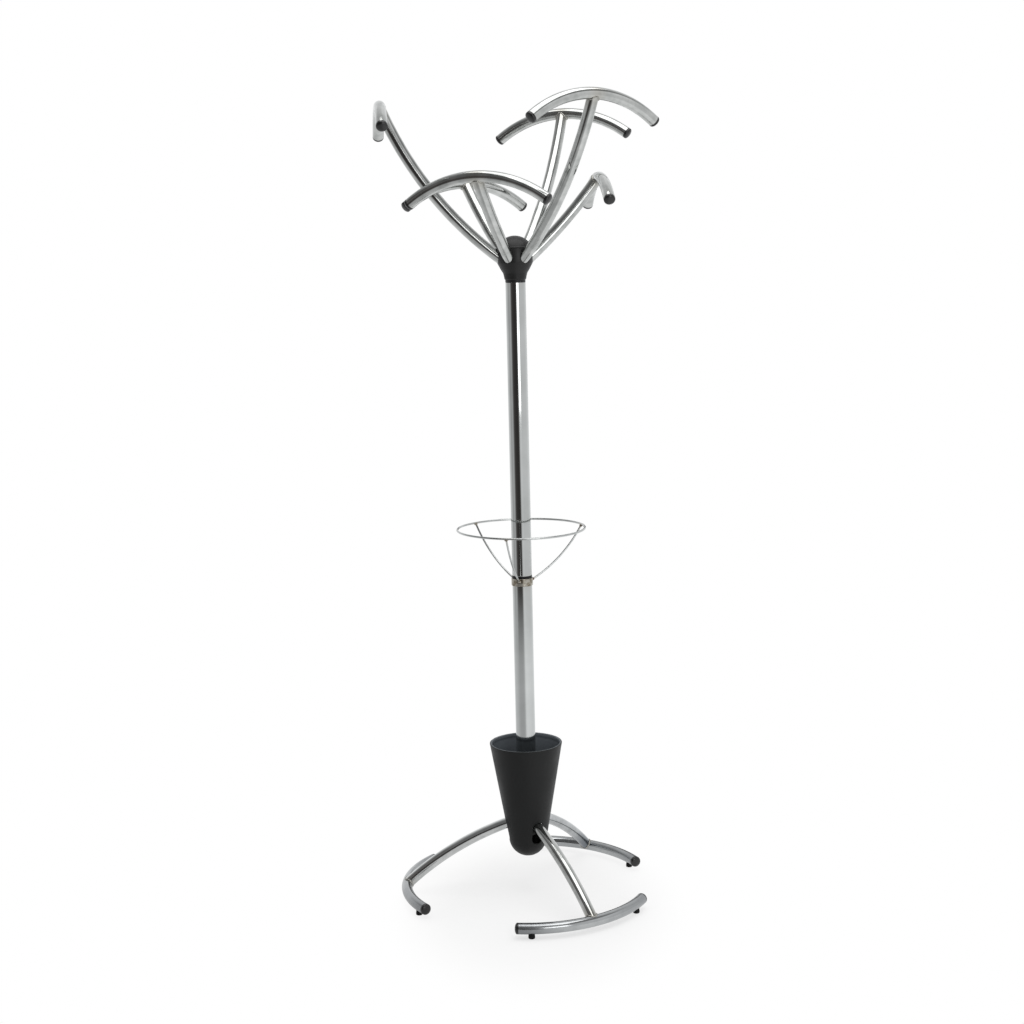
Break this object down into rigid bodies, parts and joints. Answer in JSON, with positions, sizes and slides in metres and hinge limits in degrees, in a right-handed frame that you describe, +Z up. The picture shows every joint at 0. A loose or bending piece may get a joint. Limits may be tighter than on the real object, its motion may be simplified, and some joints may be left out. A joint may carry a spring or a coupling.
{
  "type": "standing coat rack",
  "caption": "Chrome standing coat rack: curved legs, a mast with a turning head of curved arms with crossbars, an umbrella ring and a black drip cup.",
  "frame": {"origin": "on the floor, on the mast's axis", "axes": "+Z up the mast; one leg points along -X, and the other two at 60 degrees either side of +X"},
  "size_m": [0.5912, 0.6391, 1.6994],
  "materials": {
    "mast_chrome": "polished, straight steel tube",
    "tube_chrome": "polished, bent steel tube with fine handling marks",
    "wire_chrome": "plated steel wire, slightly dulled",
    "worn_plating": "worn plating with a brown tint at the brazed joints",
    "zinc_steel": "zinc-plated inner tube",
    "cast_iron": "dark casting, hidden in the cup",
    "hub_plastic": "black moulding, satin",
    "cap_plastic": "black moulding, satin",
    "cup_plastic": "black moulding, fine matt texture",
    "bush_plastic": "black bearing washer",
    "glide_rubber": "black rubber, matt"
  },
  "bodies": {
    "base": {"drip_cup": "cup_plastic", "foot_bar_1": "tube_chrome", "foot_bar_2": "tube_chrome", "foot_bar_3": "tube_chrome", "foot_bar_cap_1a": "cap_plastic", "foot_bar_cap_1b": "cap_plastic", "foot_bar_cap_2a": "cap_plastic", "foot_bar_cap_2b": "cap_plastic", "foot_bar_cap_3a": "cap_plastic", "foot_bar_cap_3b": "cap_plastic", "glide_1a": "glide_rubber", "glide_1b": "glide_rubber", "glide_2a": "glide_rubber", "glide_2b": "glide_rubber", "glide_3a": "glide_rubber", "glide_3b": "glide_rubber", "leg_1": "tube_chrome", "leg_2": "tube_chrome", "leg_3": "tube_chrome", "leg_hub": "cast_iron", "lower_mast": "mast_chrome", "mast_bush": "bush_plastic", "mast_spigot": "zinc_steel"},
    "head": {"arm_hub": "hub_plastic", "high_arm_1": "tube_chrome", "high_arm_2": "tube_chrome", "high_arm_3": "tube_chrome", "high_bar_1": "tube_chrome", "high_bar_2": "tube_chrome", "high_bar_3": "tube_chrome", "high_bar_cap_1a": "cap_plastic", "high_bar_cap_1b": "cap_plastic", "high_bar_cap_2a": "cap_plastic", "high_bar_cap_2b": "cap_plastic", "high_bar_cap_3a": "cap_plastic", "high_bar_cap_3b": "cap_plastic", "hub_cap": "hub_plastic", "low_arm_1": "tube_chrome", "low_arm_2": "tube_chrome", "low_arm_3": "tube_chrome", "low_bar_1": "tube_chrome", "low_bar_2": "tube_chrome", "low_bar_3": "tube_chrome", "low_bar_cap_1a": "cap_plastic", "low_bar_cap_1b": "cap_plastic", "low_bar_cap_2a": "cap_plastic", "low_bar_cap_2b": "cap_plastic", "low_bar_cap_3a": "cap_plastic", "low_bar_cap_3b": "cap_plastic", "upper_mast": "mast_chrome"},
    "umbrella_ring": {"ring_collar": "worn_plating", "ring_strut_1": "wire_chrome", "ring_strut_2": "wire_chrome", "ring_strut_3": "wire_chrome", "umbrella_ring": "wire_chrome"}
  },
  "joints": [
    {"name": "head_turn", "type": "hinge", "parent": "base", "child": "head", "pos_m": [0, 0, 0.70626], "axis": [0, 0, 1], "continuous": true},
    {"name": "ring_turn", "type": "hinge", "parent": "base", "child": "umbrella_ring", "pos_m": [0, 0, 0.68466], "axis": [0, 0, 1], "continuous": true}
  ]
}
